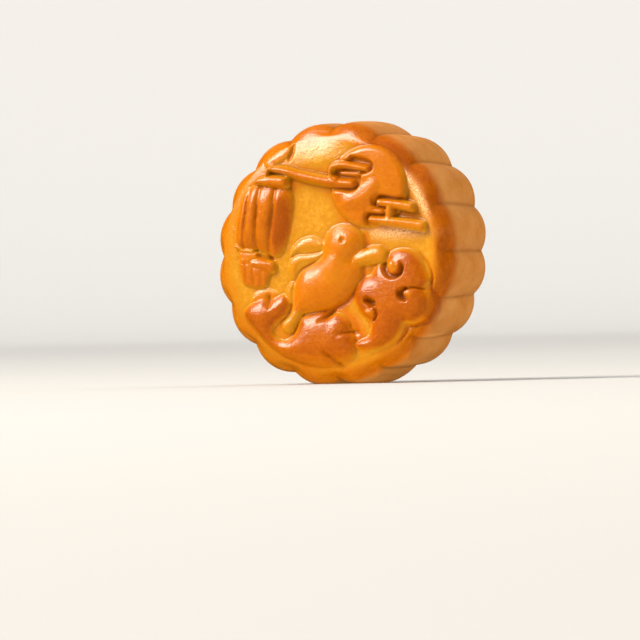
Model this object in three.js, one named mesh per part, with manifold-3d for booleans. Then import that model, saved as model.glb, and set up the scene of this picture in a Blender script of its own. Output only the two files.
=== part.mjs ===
// A round, sixteen-lobed moulded mooncake with a picture pressed into its top, stood up on its rim.
//
// Frame: millimetres, +Z up. The cake's axis runs along Y. The moulded face looks along -Y and the
// plain base along +Y. The origin is on the surface that the cake stands on, below its middle.
// The picture is laid out in face coordinates: x to the right and z up, from the face's centre.
import * as THREE from "three";
import { mergeVertices } from "three/addons/utils/BufferGeometryUtils.js";
import Module from "manifold-3d";

// ---- Driving dimensions ----
const DIAMETER = 75; // of the mould, across two opposite lobe tips
const SWELL = 0.02; // how far the wall swells in baking, as a share of its radius
const TAPER = 0.02; // how much wider the wall is at the base than at the face, as a share
const OVAL = 0.018; // how far the cake is out of round, as a share of its radius
const OVAL_ANGLE = 46; // degrees from x to the long axis, seen from the face
const THICKNESS = 28; // from the front of the face to the base
const LOBES = 16;
const VALLEY_DEPTH = 1.76; // how far the crease between two lobes lies inside the tips
const SQUEEZE = 0.065; // how far the lobes crowd towards the sides at the base, in radians
const SHOULDER = 7.8; // depth of the rounding from face to wall
const SHOULDER_FROM = 25.5; // radius at which that rounding starts
const SHOULDER_LEAN = 5.0; // how much further out it starts where the rim stands up
const FULLNESS = 2.3; // of the rounding: 2 is an ellipse, and more is boxier
const BASE_ROUND = 2.0; // radius of the rounding from wall to base
const FIELD_DEPTH = 0.85; // how far the field's middle lies behind the front of the rim
const FIELD_DISH = 0.7; // how far the field comes forward again towards its edge
const DISH_FROM = 17; // radius at which it starts to
const DISH_TO = 31; // radius at which it has
const FIELD_LEAN = 0.016; // slope of the field, deepest on the side where the rim stands up
const LEAN_ANGLE = 30; // degrees from x to that side, seen from the face
const RIM_FROM = 29.6; // radius of the foot of the rim that stands up
const RIM_TO = 34.2; // radius of its crest
const RELIEF = 2.9; // height of the main figures above the field
const REST_FLAT = 0.2; // the least that the two lobes that it stands on are pressed flat
const PICTURE_TURN = -1.9; // degrees that the picture is turned, against the lobes

// ---- Derived sizes ----
const RADIUS = DIAMETER / 2;
const LOBE_STEP = (2 * Math.PI) / LOBES;
const FACE_Y = -THICKNESS / 2;
const BASE_Y = THICKNESS / 2;
const HALF_LOBE = LOBE_STEP / 2;
const VALLEY = RADIUS - VALLEY_DEPTH;
const INWARD = VALLEY * Math.cos(HALF_LOBE) - RADIUS;
const ACROSS = VALLEY * Math.sin(HALF_LOBE);
const LOBE_ARC = -(INWARD ** 2 + ACROSS ** 2) / (2 * INWARD); // radius of one lobe
const LOBE_CENTRE = RADIUS - LOBE_ARC; // of that arc, from the cake's axis
const LONG_AXIS = THREE.MathUtils.degToRad(OVAL_ANGLE);
const STOOD_AXIS = THREE.MathUtils.degToRad(LEAN_ANGLE);
const REST_ANGLE = -Math.PI / 2 + HALF_LOBE; // of the higher of the two lobes that it stands on
const REST_PULL = (1 + SWELL) * (1 + OVAL * Math.cos(2 * (REST_ANGLE - LONG_AXIS)));
const CENTRE_Z = (LOBE_CENTRE * Math.cos(HALF_LOBE) + LOBE_ARC) * REST_PULL - REST_FLAT;
const MIDDLE_Y = (RELIEF - FIELD_DEPTH + FIELD_DISH) / 2; // brings the box's middle to y = 0

// ---- How finely the faceted solid follows the shape ----
const STEPS_PER_LOBE = 7;
const FACE_RADII = [0, 15, 23, 27, 30, 32, 33.6, 35, 36, 36.8, 37.3, RADIUS];
const BASE_STEPS = 2;
const WALL_STEPS = 2;
const BURIED = 2.5; // how far each figure reaches into the cake

const wasm = await Module();
wasm.setup();

// ---- From geometry to solid and back ----

/** A closed geometry as a manifold-3d solid. */
function solidFrom(geometry) {
  const bare = new THREE.BufferGeometry();
  bare.setAttribute("position", geometry.getAttribute("position"));
  if (geometry.index) bare.setIndex(geometry.index);
  const merged = mergeVertices(bare, 1e-4);
  return new wasm.Manifold(
    new wasm.Mesh({
      numProp: 3,
      vertProperties: merged.getAttribute("position").array,
      triVerts: new Uint32Array(merged.index.array),
    }),
  );
}

/** A manifold-3d solid as a geometry with flat facets. */
function geometryFrom(solid) {
  const mesh = solid.getMesh();
  const geometry = new THREE.BufferGeometry();
  geometry.setAttribute("position", new THREE.BufferAttribute(mesh.vertProperties, 3));
  geometry.setIndex(new THREE.BufferAttribute(mesh.triVerts, 1));
  const facets = geometry.toNonIndexed();
  facets.computeVertexNormals();
  return facets;
}

// ---- The cake's body ----

/** Radius of the mould's outline at an angle, where each lobe is an arc. */
function lobedRadius(angle) {
  const turn = ((angle % LOBE_STEP) + LOBE_STEP) % LOBE_STEP;
  const across = LOBE_CENTRE * Math.sin(turn - HALF_LOBE);
  return LOBE_CENTRE * Math.cos(turn - HALF_LOBE) + Math.sqrt(LOBE_ARC ** 2 - across ** 2);
}

/** How strongly the rim stands up above the field at an angle, from 0 to 1. */
function stoodUp(angle) {
  const near = 0.5 + 0.5 * Math.cos(angle - STOOD_AXIS);
  return THREE.MathUtils.smoothstep(near, 0.72, 0.97);
}

/** Depth of the plain field at a place. */
function fieldY(radius, angle) {
  const level = FACE_Y + FIELD_DEPTH + FIELD_LEAN * radius * Math.cos(angle - STOOD_AXIS);
  const dish = THREE.MathUtils.smoothstep(radius, DISH_FROM, DISH_TO);
  return level - FIELD_DISH * dish * (1 - stoodUp(angle));
}

/** Depth of the rounding from face to wall at a place. */
function roundY(radius, angle) {
  const near = 0.5 + 0.5 * Math.cos(angle - STOOD_AXIS);
  const start = SHOULDER_FROM + SHOULDER_LEAN * THREE.MathUtils.smoothstep(near, 0.5, 1);
  const share = THREE.MathUtils.clamp((radius - start) / (RADIUS - start), 0, 1);
  return FACE_Y + SHOULDER * (1 - (1 - share ** FULLNESS) ** (1 / FULLNESS));
}

/** Depth of the face without its figures: it rolls off on one side and has a rim on the other. */
function faceY(radius, angle) {
  const field = fieldY(radius, angle);
  const round = roundY(radius, angle);
  const rise = THREE.MathUtils.smoothstep(radius, RIM_FROM, RIM_TO);
  const rimmed = THREE.MathUtils.lerp(field, round, rise);
  return THREE.MathUtils.lerp(Math.max(field, round), rimmed, stoodUp(angle));
}

/** Half section of a round body, from the middle of the face to the middle of the base. */
function bodySection() {
  const section = FACE_RADII.map((radius) => [radius, roundY(radius, Math.PI)]);
  const wallStartY = FACE_Y + SHOULDER;
  const wallEndY = BASE_Y - BASE_ROUND;
  for (let i = 1; i <= WALL_STEPS; i++) {
    section.push([RADIUS, wallStartY + ((wallEndY - wallStartY) * i) / (WALL_STEPS + 1)]);
  }
  for (let i = 0; i <= BASE_STEPS; i++) {
    const turn = (Math.PI / 2) * (i / BASE_STEPS);
    const radius = RADIUS - BASE_ROUND * (1 - Math.cos(turn));
    section.push([radius, wallEndY + BASE_ROUND * Math.sin(turn)]);
  }
  section.push([0, BASE_Y]);
  return section.map(([radius, y]) => new THREE.Vector2(radius, y));
}

/** How much wider than the mould the cake is, at a place along its axis. */
function fullness(y) {
  const along = (y - FACE_Y) / THICKNESS;
  return 1 + TAPER * (along - 0.5) + SWELL * (1 - (2 * along - 1) ** 2);
}

/** Angle that a place of the straight wall comes to when the lobes crowd to the sides. */
function crowded(angle, y) {
  const along = (y - FACE_Y) / THICKNESS;
  const sideways = THREE.MathUtils.smoothstep(Math.abs(Math.cos(angle)), 0.2, 0.45);
  return angle - SQUEEZE * along * Math.sin(2 * angle) * sideways;
}

/** The section turned round the axis, then pulled into lobes, swollen and made a little oval. */
function makeBody() {
  const geometry = new THREE.LatheGeometry(bodySection(), LOBES * STEPS_PER_LOBE);
  const points = geometry.getAttribute("position");
  for (let i = 0; i < points.count; i++) {
    const radius = Math.hypot(points.getX(i), points.getZ(i));
    const straight = Math.atan2(points.getZ(i), points.getX(i));
    const front = points.getY(i) < FACE_Y + SHOULDER;
    const y = front ? faceY(radius, straight) : points.getY(i);
    const angle = crowded(straight, y);
    const share = THREE.MathUtils.smoothstep(radius, RADIUS - 4.2, RADIUS - 0.5);
    const lobes = 1 + share * (lobedRadius(straight) / RADIUS - 1);
    const oval = 1 + share * OVAL * Math.cos(2 * (angle - LONG_AXIS));
    const wider = 1 + share * (fullness(y) - 1);
    const reach = radius * lobes * oval * wider;
    points.setXYZ(i, reach * Math.cos(angle), y, reach * Math.sin(angle));
  }
  return solidFrom(geometry);
}

// ---- The picture's outlines ----

/** Turns a point of the picture to where the mould pressed it. */
function placed([x, z]) {
  const turn = THREE.MathUtils.degToRad(PICTURE_TURN);
  return new THREE.Vector2(
    x * Math.cos(turn) - z * Math.sin(turn),
    x * Math.sin(turn) + z * Math.cos(turn),
  );
}

/** A closed outline that runs smoothly through its points. */
function blob(points, perPoint = 2) {
  const loop = points.map(placed).map((p) => new THREE.Vector3(p.x, p.y, 0));
  const curve = new THREE.CatmullRomCurve3(loop, true, "centripetal");
  const steps = points.length * perPoint;
  const outline = curve.getPoints(steps).slice(0, steps);
  return new THREE.Shape(outline.map((p) => new THREE.Vector2(p.x, p.y)));
}

/** A round outline. */
function disc([x, z], radius, steps = 44) {
  const outline = [];
  for (let i = 0; i < steps; i++) {
    const turn = (2 * Math.PI * i) / steps;
    outline.push(placed([x + radius * Math.cos(turn), z + radius * Math.sin(turn)]));
  }
  return new THREE.Shape(outline);
}

/** The outline of a brush stroke: points [x, z, half width] along its middle, with round ends. */
function stroke(points, perPoint = 2) {
  const line = points.map(([x, z]) => new THREE.Vector3(x, z, 0));
  const curve = new THREE.CatmullRomCurve3(line, false, "centripetal");
  const steps = (points.length - 1) * perPoint;
  const left = [];
  const right = [];
  for (let i = 0; i <= steps; i++) {
    const share = i / steps;
    const place = share * (points.length - 1);
    const before = Math.min(points.length - 2, Math.floor(place));
    const half = THREE.MathUtils.lerp(points[before][2], points[before + 1][2], place - before);
    const at = curve.getPoint(share);
    const along = curve.getTangent(share);
    left.push([at.x - along.y * half, at.y + along.x * half]);
    right.push([at.x + along.y * half, at.y - along.x * half]);
  }
  const cap = (end, share, from) => {
    const [x, z, half] = end;
    const along = curve.getTangent(share);
    const start = Math.atan2(along.y, along.x) + from;
    return [1, 2, 3].map((i) => {
      const turn = start - (Math.PI * i) / 4;
      return [x + half * Math.cos(turn), z + half * Math.sin(turn)];
    });
  };
  const ahead = cap(points.at(-1), 1, Math.PI / 2);
  const behind = cap(points[0], 0, -Math.PI / 2);
  const outline = [...left, ...ahead, ...right.reverse(), ...behind];
  return new THREE.Shape(outline.map(placed));
}

/** Lays a geometry made in the xy plane on the face, a height above it, following its shape. */
function laidOnFace(geometry, height) {
  geometry.rotateX(Math.PI / 2);
  const points = geometry.getAttribute("position");
  for (let i = 0; i < points.count; i++) {
    const [x, z] = [points.getX(i), points.getZ(i)];
    const place = [Math.hypot(x, z), Math.atan2(z, x)];
    const under = Math.max(faceY(...place), fieldY(...place));
    points.setY(i, points.getY(i) + under - height);
  }
  return solidFrom(geometry);
}

/** A figure that stands a height out of the field, with its top edge rounded off. */
function raised(shape, height, round = 0.5, steps = 1) {
  const geometry = new THREE.ExtrudeGeometry(shape, {
    depth: BURIED + height - 2 * round,
    bevelEnabled: true,
    bevelThickness: round,
    bevelSize: round * 0.8,
    bevelOffset: -round * 0.8,
    bevelSegments: steps,
  });
  return laidOnFace(geometry, round - BURIED);
}

/** A straight-sided cutter that reaches outwards from a height above the field. */
function cutter(shape, height) {
  const geometry = new THREE.ExtrudeGeometry(shape, { depth: 6, bevelEnabled: false });
  return laidOnFace(geometry, height);
}

/** Several solids joined to one. */
function joined(solids) {
  return wasm.Manifold.union(solids);
}

// ---- The picture's figures ----

/** The full moon, with two bands of drifting cloud let into it. */
function makeMoon() {
  const moon = raised(disc([12.4, 19.4], 11.8, 36), 2.5, 1.3, 2);
  const pockets = [
    [[6.4, 26.9], [7.0, 27.9], [9.3, 27.7], [12.0, 27.2], [13.8, 25.9], [13.8, 24.4],
      [12.4, 23.4], [10.4, 22.7], [10.2, 21.2], [9.6, 19.4], [8.4, 18.2], [6.6, 17.8],
      [3.0, 18.2], [-1.0, 18.6], [-1.0, 26.0], [2.4, 26.4]],
    [[26.0, 15.9], [21.0, 16.3], [17.6, 16.9], [15.1, 16.8], [13.9, 15.6], [14.2, 14.0],
      [15.4, 13.3], [15.0, 12.9], [13.2, 12.4], [11.9, 11.4], [11.6, 9.6], [12.4, 8.0],
      [14.0, 6.5], [26.0, 6.5]],
  ].map((outline) => cutter(blob(outline, 1), 0.5));
  const bands = [
    // Upper band: a hook, and the moon's own finger inside it.
    [[[2.6, 21.2, 0.9], [1.1, 22.2, 0.85], [0.8, 23.8, 0.85], [2.0, 25.1, 0.95],
      [5.0, 25.5, 1.0], [8.5, 25.0, 1.0], [12.1, 24.4, 0.95]], 2.7],
    [[[4.0, 23.1, 0.55], [9.6, 22.9, 0.7]], 1.7],
    // Lower band: two fingers with a bridge between them, and the moon's own finger inside.
    [[[16.0, 14.9, 1.1], [20.0, 14.5, 1.25], [25.6, 13.6, 1.45]], 2.6],
    [[[13.6, 9.9, 1.1], [20.0, 9.3, 1.4], [29.2, 8.2, 1.6]], 2.7],
    [[[19.3, 13.8, 1.2], [19.0, 10.2, 1.2]], 2.2],
    [[[12.8, 12.5, 0.8], [16.8, 12.3, 0.8]], 2.2],
  ].map(([line, top]) => raised(stroke(line, 1), top, 0.45));
  return joined([moon.subtract(joined(pockets)), ...bands]);
}

/** The lantern: a ribbed body with a cap, a knot and a tassel, hung from a pole. */
function makeLantern() {
  // Each rib runs from the cap to the knot, and the ribs rise towards the barrel's middle:
  // [top x, top z, belly x, bottom x, bottom z, half width, height].
  const ribs = [
    [-26.6, 17.2, -28.6, -28.2, 2.2, 0.95, 2.0],
    [-24.2, 17.6, -25.6, -25.5, 1.9, 1.65, 2.5],
    [-20.7, 17.6, -21.3, -21.6, 1.8, 2.1, 2.8],
  ].map(([topX, topZ, bellyX, bottomX, bottomZ, half, height]) => {
    const middle = [(topX + bellyX) / 2 - 0.3, 13.0, half];
    const line = [[topX, topZ, half * 0.75], middle, [bellyX, 8.5, half], [bottomX, bottomZ, half * 0.8]];
    return raised(stroke(line), height, half * 0.55, 2);
  });
  const lastRib = raised(
    blob([[-18.2, 18.4], [-14.0, 18.6], [-12.0, 16.6], [-12.1, 11.0], [-13.0, 4.0], [-14.8, 0.0],
      [-17.0, -0.7], [-19.4, 0.4], [-18.8, 8.0], [-18.0, 15.0]]),
    RELIEF,
    1.3,
    2,
  );
  const blobs = [
    [[[-23.4, 19.6], [-23.0, 21.3], [-20.0, 22.3], [-16.4, 22.2], [-13.4, 21.2], [-13.1, 19.6],
      [-14.6, 18.8], [-18.0, 19.1], [-21.2, 19.3]], 2.6, 0.8],
    [[[-28.2, 1.2], [-22.8, 0.3], [-18.7, -2.2], [-20.0, -3.2], [-27.6, -2.6]], 1.1, 0.4],
    [[[-28.2, -3.2], [-27.7, -6.6], [-26.0, -8.9], [-22.8, -9.9], [-19.8, -9.3], [-18.2, -7.4],
      [-18.1, -4.6], [-22.0, -3.0]], 1.3, 0.5],
  ].map(([outline, top, round]) => raised(blob(outline), top, round));
  const strands = [
    [[-25.8, -4.6], [-25.4, -8.4]],
    [[-23.2, -4.6], [-22.9, -9.0]],
    [[-20.7, -5.2], [-20.4, -8.6]],
  ].map((line) => cutter(stroke(line.map((end) => [...end, 0.25])), 0.8));
  const strokes = [
    [[[-27.4, -3.0, 0.95], [-22.5, -3.1, 1.15], [-18.3, -3.9, 1.75]], 1.7, 0.6],
    [[[-18.0, 24.4, 0.8], [-19.2, 23.8, 0.75], [-19.5, 22.0, 0.6]], 2.4, 0.4],
    [[[-17.9, 24.1, 0.9], [-14.2, 23.8, 1.25], [-9.4, 22.4, 1.5], [-3.0, 21.1, 1.6],
      [3.3, 20.3, 1.5], [7.3, 20.1, 1.35]], 2.6, 0.7],
  ].map(([line, top, round]) => raised(stroke(line, 1), top, round));
  return joined([...ribs, lastRib, joined(blobs).subtract(joined(strands)), ...strokes]);
}

/** The rabbit, sitting up towards the moon, with its ears laid back. */
function makeRabbit() {
  const body = raised(
    blob([[-2.2, -1.0], [-5.0, -3.2], [-8.2, -5.0], [-10.2, -7.8], [-10.9, -11.0], [-10.9, -14.4],
      [-9.6, -17.0], [-6.0, -16.9], [-2.5, -16.2], [1.0, -15.3], [4.5, -13.7], [6.8, -11.4],
      [9.0, -8.6], [10.4, -6.0], [10.4, -3.4], [8.6, -1.6], [4.0, 2.0], [-0.5, 2.0]]),
    RELIEF,
    1.8,
    2,
  );
  const head = raised(
    blob([[-1.7, 0.2], [-1.7, 2.4], [-0.8, 5.2], [1.4, 7.5], [4.6, 8.3], [8.0, 7.6], [10.3, 5.6],
      [11.0, 3.0], [10.4, 0.6], [8.6, -1.6], [3.5, -3.0], [0.0, -2.0]]),
    RELIEF,
    1.8,
    2,
  );
  const eye = cutter(disc([3.8, 4.0], 0.8, 10), 2.1);
  const ears = [
    [[-1.3, 3.3], [-3.4, 4.2], [-5.6, 4.8], [-8.4, 4.2], [-10.6, 2.6], [-12.0, 0.6],
      [-12.0, -0.9], [-9.8, 0.1], [-7.6, 0.0], [-5.4, 0.2], [-3.2, 0.5], [-1.3, 1.6]],
    [[-1.5, 1.2], [-3.4, 0.2], [-6.0, -0.3], [-8.0, -0.3], [-10.0, -0.5], [-12.0, -1.9],
      [-12.7, -4.2], [-12.0, -6.4], [-10.8, -8.0], [-10.2, -7.0], [-8.9, -5.2],
      [-7.4, -3.8], [-5.2, -2.7], [-3.0, -1.8], [-1.6, -0.5]],
  ].map((outline) => raised(blob(outline), 0.85, 0.4));
  const limbs = [
    [[[-8.8, -14.5, 2.4], [-10.3, -18.0, 1.7], [-12.3, -20.9, 2.1]], 1.6],
    [[[9.0, -1.7, 1.7], [12.4, -0.5, 2.05], [15.2, 0.0, 2.1], [16.6, -0.2, 1.9]], 2.0],
    [[[-11.4, -9.0, 0.8], [-12.1, -11.2, 1.4], [-11.5, -13.4, 1.1]], 0.9],
  ].map(([line, top]) => raised(stroke(line), top, 0.6));
  return joined([joined([body, head]).subtract(eye), ...ears, ...limbs]);
}

/** The scrolled cloud, with three curls and a tail. */
function makeScrollCloud() {
  const cloud = raised(
    blob([[18.2, -1.4], [19.4, 0.6], [22.2, 1.6], [25.2, 1.3], [28.0, -0.4], [29.8, -3.0],
      [31.2, -5.6], [31.5, -7.6], [30.4, -9.3], [31.5, -12.0], [31.5, -15.0], [29.8, -17.8],
      [27.0, -19.3], [24.0, -19.5], [22.9, -21.9], [20.3, -24.9], [16.3, -27.0], [12.0, -27.4],
      [9.5, -26.8], [9.0, -25.5], [10.3, -24.7], [12.6, -23.7], [13.3, -21.8], [13.4, -19.6],
      [11.6, -18.2], [9.2, -15.9], [8.1, -12.8], [8.6, -9.6], [10.6, -7.2], [13.2, -6.0],
      [14.4, -3.8], [15.8, -2.6], [17.0, -3.0]]),
    2.6,
    0.9,
  );
  const grooves = [
    [[[17.4, -2.6, 0.5], [18.1, -4.8, 0.6], [20.2, -6.2, 0.7], [22.5, -5.5, 0.8],
      [23.4, -3.7, 0.6], [22.9, -2.2, 0.3]], 0.8],
    [[[24.4, -9.7, 0.5], [23.2, -10.6, 0.8], [23.6, -12.1, 0.8], [25.0, -13.0, 0.4]], 0.6],
    [[[24.4, -9.6, 0.4], [27.0, -9.3, 0.4], [29.2, -9.6, 0.35], [30.3, -10.0, 0.3]], 1.5],
    [[[12.7, -13.1, 1.0], [14.3, -14.0, 1.1]], 0.5],
    [[[15.3, -15.0, 0.4], [15.8, -17.0, 0.45], [14.8, -18.8, 0.4]], 1.5],
  ].map(([line, floor]) => cutter(stroke(line), floor));
  const balls = [
    [[[20.4, -3.0, 1.9], [20.6, -3.3, 1.9]], 2.6],
    [[[12.9, -16.4, 1.3], [13.9, -16.7, 1.4]], 2.4],
    [[[25.6, -10.9, 0.9], [26.6, -11.3, 0.9]], 2.7],
  ].map(([line, top]) => raised(stroke(line, 1), top, 0.5));
  return joined([cloud.subtract(joined(grooves)), ...balls]);
}

/** The bank of cloud below the rabbit, with a lower puff behind it. */
function makeCloudBank() {
  const puff = raised(
    blob([[-24.2, -14.2], [-23.0, -11.8], [-20.3, -10.6], [-17.0, -10.9], [-14.8, -12.6],
      [-17.0, -15.0], [-21.0, -16.0]]),
    1.1,
    0.5,
  );
  const bank = raised(
    blob([[-26.8, -17.0], [-25.0, -15.2], [-22.8, -14.0], [-20.6, -13.2], [-18.4, -13.7],
      [-16.2, -12.6], [-13.9, -11.9], [-12.2, -13.2], [-11.8, -14.8], [-12.6, -16.6],
      [-13.4, -18.2], [-15.2, -19.4], [-17.0, -21.4], [-16.8, -23.6], [-14.8, -25.0],
      [-12.2, -24.7], [-10.2, -22.6], [-9.2, -20.2], [-8.2, -18.4], [-5.6, -17.5], [-2.8, -16.8],
      [-0.4, -17.0], [0.6, -17.7], [2.6, -17.1], [5.2, -18.0], [6.9, -19.8], [7.3, -22.0],
      [8.6, -24.2], [9.0, -26.6], [8.4, -28.8], [6.4, -30.3], [3.4, -30.9], [1.6, -32.0],
      [-1.4, -32.4], [-5.5, -32.2], [-10.5, -31.0], [-15.5, -28.9], [-20.0, -25.6],
      [-23.6, -22.0], [-26.0, -19.4]], 1),
    2.6,
    1.1,
    2,
  );
  const creases = [
    [[1.4, -16.4, 0.5], [-0.4, -18.2, 0.5], [-2.4, -19.4, 0.3]],
    [[9.0, -22.2, 0.5], [6.0, -22.4, 0.5], [3.4, -23.2, 0.3]],
    [[4.4, -32.2, 0.5], [2.0, -30.2, 0.5], [0.0, -28.8, 0.4], [-1.4, -27.4, 0.3]],
    [[-18.7, -12.6, 0.5], [-18.2, -15.6, 0.3]],
  ].map((line) => cutter(stroke(line), 1.5));
  return joined([puff, bank.subtract(joined(creases))]);
}

// ---- The cake ----

/** The whole cake as one solid, pressed flat where it stands. */
function makeCake() {
  const figures = [makeMoon(), makeLantern(), makeRabbit(), makeScrollCloud(), makeCloudBank()];
  const whole = joined([makeBody(), ...figures]);
  return whole.trimByPlane([0, 0, 1], -CENTRE_Z).translate([0, MIDDLE_Y, CENTRE_Z]);
}

const crust = new THREE.MeshStandardMaterial({ color: 0xd9822b, roughness: 0.38, metalness: 0 });
const cake = new THREE.Mesh(geometryFrom(makeCake()), crust);
cake.name = "mooncake";

const mooncake = new THREE.Group();
mooncake.add(cake);
export default mooncake;
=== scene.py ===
"""A baked, moulded mooncake, stood on its rim: the crust's fine shape, its finish and a plain studio."""

import logging
import math
from dataclasses import dataclass, field
from enum import Enum

import bmesh
import bpy
import numpy as np
from mathutils import Matrix, Vector


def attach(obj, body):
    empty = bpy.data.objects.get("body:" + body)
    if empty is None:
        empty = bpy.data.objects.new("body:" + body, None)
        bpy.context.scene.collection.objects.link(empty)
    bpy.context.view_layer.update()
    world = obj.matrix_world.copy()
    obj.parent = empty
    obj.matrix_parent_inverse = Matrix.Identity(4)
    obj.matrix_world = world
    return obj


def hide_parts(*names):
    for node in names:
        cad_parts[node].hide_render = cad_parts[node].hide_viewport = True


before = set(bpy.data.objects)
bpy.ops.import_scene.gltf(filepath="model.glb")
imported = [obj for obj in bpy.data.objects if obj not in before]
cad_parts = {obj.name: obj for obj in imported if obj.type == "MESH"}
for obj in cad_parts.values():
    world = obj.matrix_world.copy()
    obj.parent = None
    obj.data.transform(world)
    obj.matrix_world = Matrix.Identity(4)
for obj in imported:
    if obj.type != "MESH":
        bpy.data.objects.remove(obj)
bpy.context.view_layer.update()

LOG = logging.getLogger("mooncake")
MM = 0.001
Points = tuple[tuple[float, ...], ...]
Pair = tuple[float, float]
Triple = tuple[float, float, float]


# ---- Small helpers ----


def linear(hex_colour: str) -> tuple[float, float, float, float]:
    """Turns an sRGB hex colour into Blender's linear colour.

    Args:
        hex_colour: A # and six hex digits.

    Returns:
        Red, green, blue and an alpha of 1.
    """
    shares = [int(hex_colour[i : i + 2], 16) / 255 for i in (1, 3, 5)]
    bent = [c / 12.92 if c <= 0.04045 else ((c + 0.055) / 1.055) ** 2.4 for c in shares]
    return (*bent, 1.0)


def ease(low: float, high: float, value: np.ndarray) -> np.ndarray:
    """Smooth step from 0 at low to 1 at high.

    Args:
        low: Where the step starts.
        high: Where it ends.
        value: Numbers to place on the step.

    Returns:
        Shares from 0 to 1.
    """
    share = np.clip((value - low) / (high - low), 0.0, 1.0)
    return share * share * (3.0 - 2.0 * share)


def hill(value: np.ndarray, middle: float, half: float) -> np.ndarray:
    """A smooth hill of height 1, which falls to about a third at half from its middle."""
    return np.exp(-(((value - middle) / half) ** 2))


def higher(one: np.ndarray, other: np.ndarray, soft: float) -> np.ndarray:
    """The higher of two heights, with the crease between them filled in.

    Args:
        one: Heights in millimetres.
        other: Heights in millimetres.
        soft: Width of the fillet in millimetres.

    Returns:
        Heights in millimetres.
    """
    blend = np.maximum(soft - np.abs(one - other), 0.0) / soft
    return np.maximum(one, other) + blend * blend * soft / 4


def spline(points: Points, closed: bool, per_span: int = 8) -> np.ndarray:
    """Runs a smooth curve through control points, whatever number of columns they have.

    Args:
        points: Control points, one row each.
        closed: Whether the curve comes back to its start.
        per_span: Short straight pieces between two control points.

    Returns:
        The curve's points, without a repeat of the first one.
    """
    given = np.array(points, float)
    if closed:
        padded = np.vstack([given[-1:], given, given[:2]])
    else:
        padded = np.vstack([2 * given[0] - given[1], given, 2 * given[-1] - given[-2]])
    share = (np.arange(per_span) / per_span)[:, None]
    spans = []
    for i in range(len(padded) - 3):
        a, b, c, d = padded[i : i + 4]
        bend = (-a + 3 * b - 3 * c + d) * share**3 + (2 * a - 5 * b + 4 * c - d) * share**2
        spans.append(0.5 * (bend + (c - a) * share + 2 * b))
    line = np.vstack(spans)
    return line if closed else np.vstack([line, given[-1:]])


def blurred(heights: np.ndarray, width: float) -> np.ndarray:
    """Softens a grid of heights.

    Args:
        heights: The grid.
        width: Standard deviation of the softening, in cells.

    Returns:
        The softened grid, of the same size.
    """
    reach = max(1, math.ceil(3 * width))
    weights = np.exp(-0.5 * (np.arange(-reach, reach + 1) / width) ** 2)
    weights /= weights.sum()
    tall, wide = heights.shape
    padded = np.pad(heights, reach, mode="edge")
    rows = sum(weight * padded[i : i + tall] for i, weight in enumerate(weights))
    return sum(weight * rows[:, i : i + wide] for i, weight in enumerate(weights))


def between_cells(grid: np.ndarray, column: np.ndarray, row: np.ndarray) -> np.ndarray:
    """Reads a grid between its cells.

    Args:
        grid: Rows of values.
        column: Places along a row, in cells.
        row: Places along a column, in cells.

    Returns:
        The values, blended from the four nearest cells.
    """
    just_inside = 1.001
    column = np.clip(column, 0, grid.shape[1] - just_inside)
    row = np.clip(row, 0, grid.shape[0] - just_inside)
    left, low = column.astype(int), row.astype(int)
    across, up = column - left, row - low
    below = grid[low, left] * (1 - across) + grid[low, left + 1] * across
    above = grid[low + 1, left] * (1 - across) + grid[low + 1, left + 1] * across
    return below * (1 - up) + above * up


def to_line(x: np.ndarray, z: np.ndarray, line: np.ndarray) -> tuple[np.ndarray, np.ndarray]:
    """Distance from places to a line of short straight pieces.

    Args:
        x: Places across the face.
        z: Places up the face.
        line: Rows of x, z and optionally a width.

    Returns:
        The distances, and the width at the nearest place of the line.
    """
    best = np.full(x.shape, np.inf)
    width = np.zeros(x.shape)
    for start, end in zip(line[:-1], line[1:]):
        step = end[:2] - start[:2]
        long = max(float(step @ step), 1e-12)
        share = np.clip(((x - start[0]) * step[0] + (z - start[1]) * step[1]) / long, 0.0, 1.0)
        far = np.hypot(x - start[0] - share * step[0], z - start[1] - share * step[1])
        closer = far < best
        best = np.where(closer, far, best)
        if line.shape[1] > 2:
            width = np.where(closer, start[2] + share * (end[2] - start[2]), width)
    return best, width


def extruded(
    bm: bmesh.types.BMesh, edge: list[bmesh.types.BMEdge]
) -> tuple[list[bmesh.types.BMEdge], list[bmesh.types.BMVert]]:
    """Draws a mesh's open edge out by one more ring of faces.

    Args:
        bm: The mesh to add to.
        edge: Its open edge.

    Returns:
        The new open edge, and its vertices, which still lie where the old ones do.
    """
    made = bmesh.ops.extrude_edge_only(bm, edges=edge)["geom"]
    edges = [g for g in made if isinstance(g, bmesh.types.BMEdge) and g.is_boundary]
    return edges, [g for g in made if isinstance(g, bmesh.types.BMVert)]


def smooth_object(bm: bmesh.types.BMesh, name: str) -> bpy.types.Object:
    """Turns a bmesh into a smoothly shaded object at the origin.

    Args:
        bm: The bmesh, which is freed.
        name: Name of the object and of its mesh.

    Returns:
        The object, in the scene.
    """
    mesh = bpy.data.meshes.new(name)
    bm.to_mesh(mesh)
    bm.free()
    mesh.polygons.foreach_set("use_smooth", [True] * len(mesh.polygons))
    made = bpy.data.objects.new(name, mesh)
    bpy.context.scene.collection.objects.link(made)
    return made


# ---- Shapes that a mould's picture is cut from ----

MARGIN = 4.0  # how far past its points a figure can change the dough, in mm
FOOT = 0.12  # how far outside its outline a figure's foot lies, in mm
MOAT_HALF = 0.45  # half width of the groove that the mould pinches round a foot, in mm
DOME_SOFT = 0.9  # softening of the ridge where the sides of a dome meet, in mm
BROWNED = (-0.1, 0.9)  # how far inside its outline a figure's browning starts and is full, in mm


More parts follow.
